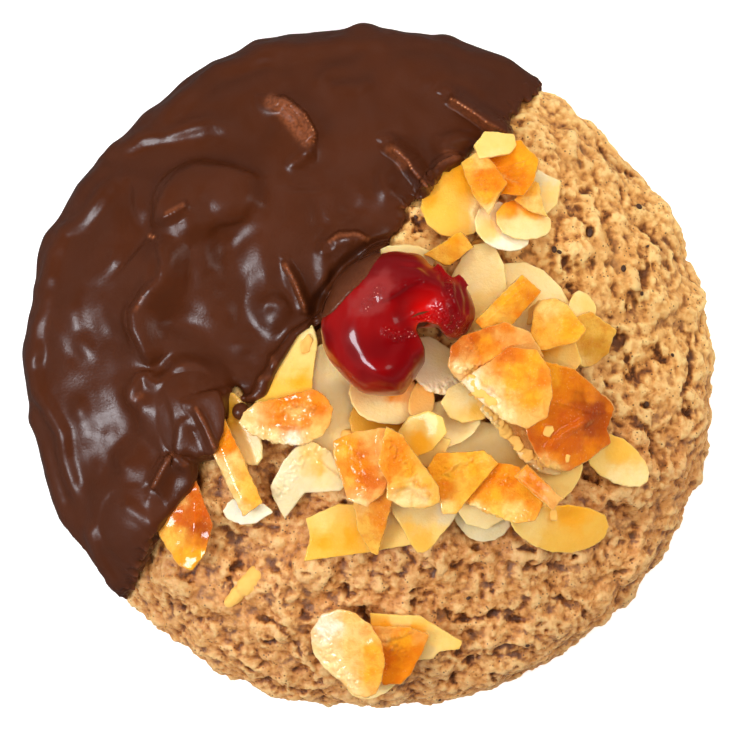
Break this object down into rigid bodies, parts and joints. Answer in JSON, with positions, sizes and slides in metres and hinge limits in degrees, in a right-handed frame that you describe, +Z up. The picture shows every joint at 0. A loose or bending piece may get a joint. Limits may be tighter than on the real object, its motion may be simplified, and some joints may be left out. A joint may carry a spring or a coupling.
{
  "type": "lebkuchen",
  "caption": "Round soft lebkuchen, half dipped in dark chocolate, topped with flaked almonds and a glace cherry.",
  "frame": {"origin": "middle of the flat underside", "axes": "+Z up through the dome, +Y towards the top of the pictured view"},
  "size_m": [0.0905, 0.0894, 0.0328],
  "materials": {
    "dough": "open crumb, matt, with dark specks of nut and spice",
    "chocolate": "satin dark chocolate",
    "cherry": "glossy, translucent candied fruit",
    "almond_pale": "pale almond with a faint sugar gloss",
    "almond_golden": "golden almond with a sugar glaze",
    "almond_toasted": "toasted almond under a shiny sugar glaze"
  },
  "bodies": {
    "root": {"dough": "dough", "chocolate_coat": "chocolate", "cherry": "cherry", "flake_smooth_left": "almond_pale", "flake_broad_heap": "almond_pale", "flake_broad_right": "almond_pale", "flake_beside_cherry": "almond_pale", "flake_over_cherry": "almond_pale", "flake_under_heap": "almond_pale", "flake_below_cherry": "almond_pale", "flake_arc_peach": "almond_pale", "flake_narrow": "almond_pale", "flake_pinkish": "almond_pale", "flake_heap_edge": "almond_pale", "flake_coated_beige": "almond_pale", "flake_foot": "almond_pale", "flake_top_round": "almond_pale", "flake_top_grey": "almond_pale", "flake_top_cream": "almond_pale", "flake_top_pale": "almond_pale", "flake_low_clear": "almond_pale", "flake_long_band": "almond_pale", "flake_tongue": "almond_pale", "flake_half_moon": "almond_pale", "flake_oval_right": "almond_pale", "flake_white": "almond_pale", "flake_yellow_left": "almond_pale", "flake_orange_left": "almond_golden", "stick_left": "almond_golden", "flake_amber": "almond_toasted", "flake_spike": "almond_golden", "stick_by_cherry": "almond_golden", "flake_pale_bit": "almond_pale", "flake_ochre": "almond_golden", "flake_yellow_low": "almond_pale", "flake_yellow_high": "almond_golden", "flake_low_middle": "almond_pale", "flake_yellow_middle": "almond_pale", "flake_face_left": "almond_toasted", "flake_face_right": "almond_golden", "flake_pale_low": "almond_pale", "flake_glazed": "almond_golden", "flake_golden": "almond_golden", "stick_low": "almond_golden", "flake_heap_small": "almond_pale", "flake_peach_band": "almond_golden", "flake_toasted": "almond_toasted", "stick_right": "almond_golden", "flake_ridge": "almond_toasted", "flake_lobe": "almond_golden", "flake_top_fragment": "almond_golden", "flake_top_toasted": "almond_toasted", "flake_top_spike": "almond_golden", "flake_top_pale_slab": "almond_pale", "flake_base_under": "almond_pale", "flake_base_point": "almond_pale", "flake_base_orange": "almond_toasted", "flake_base_cream": "almond_pale"}
  },
  "joints": []
}
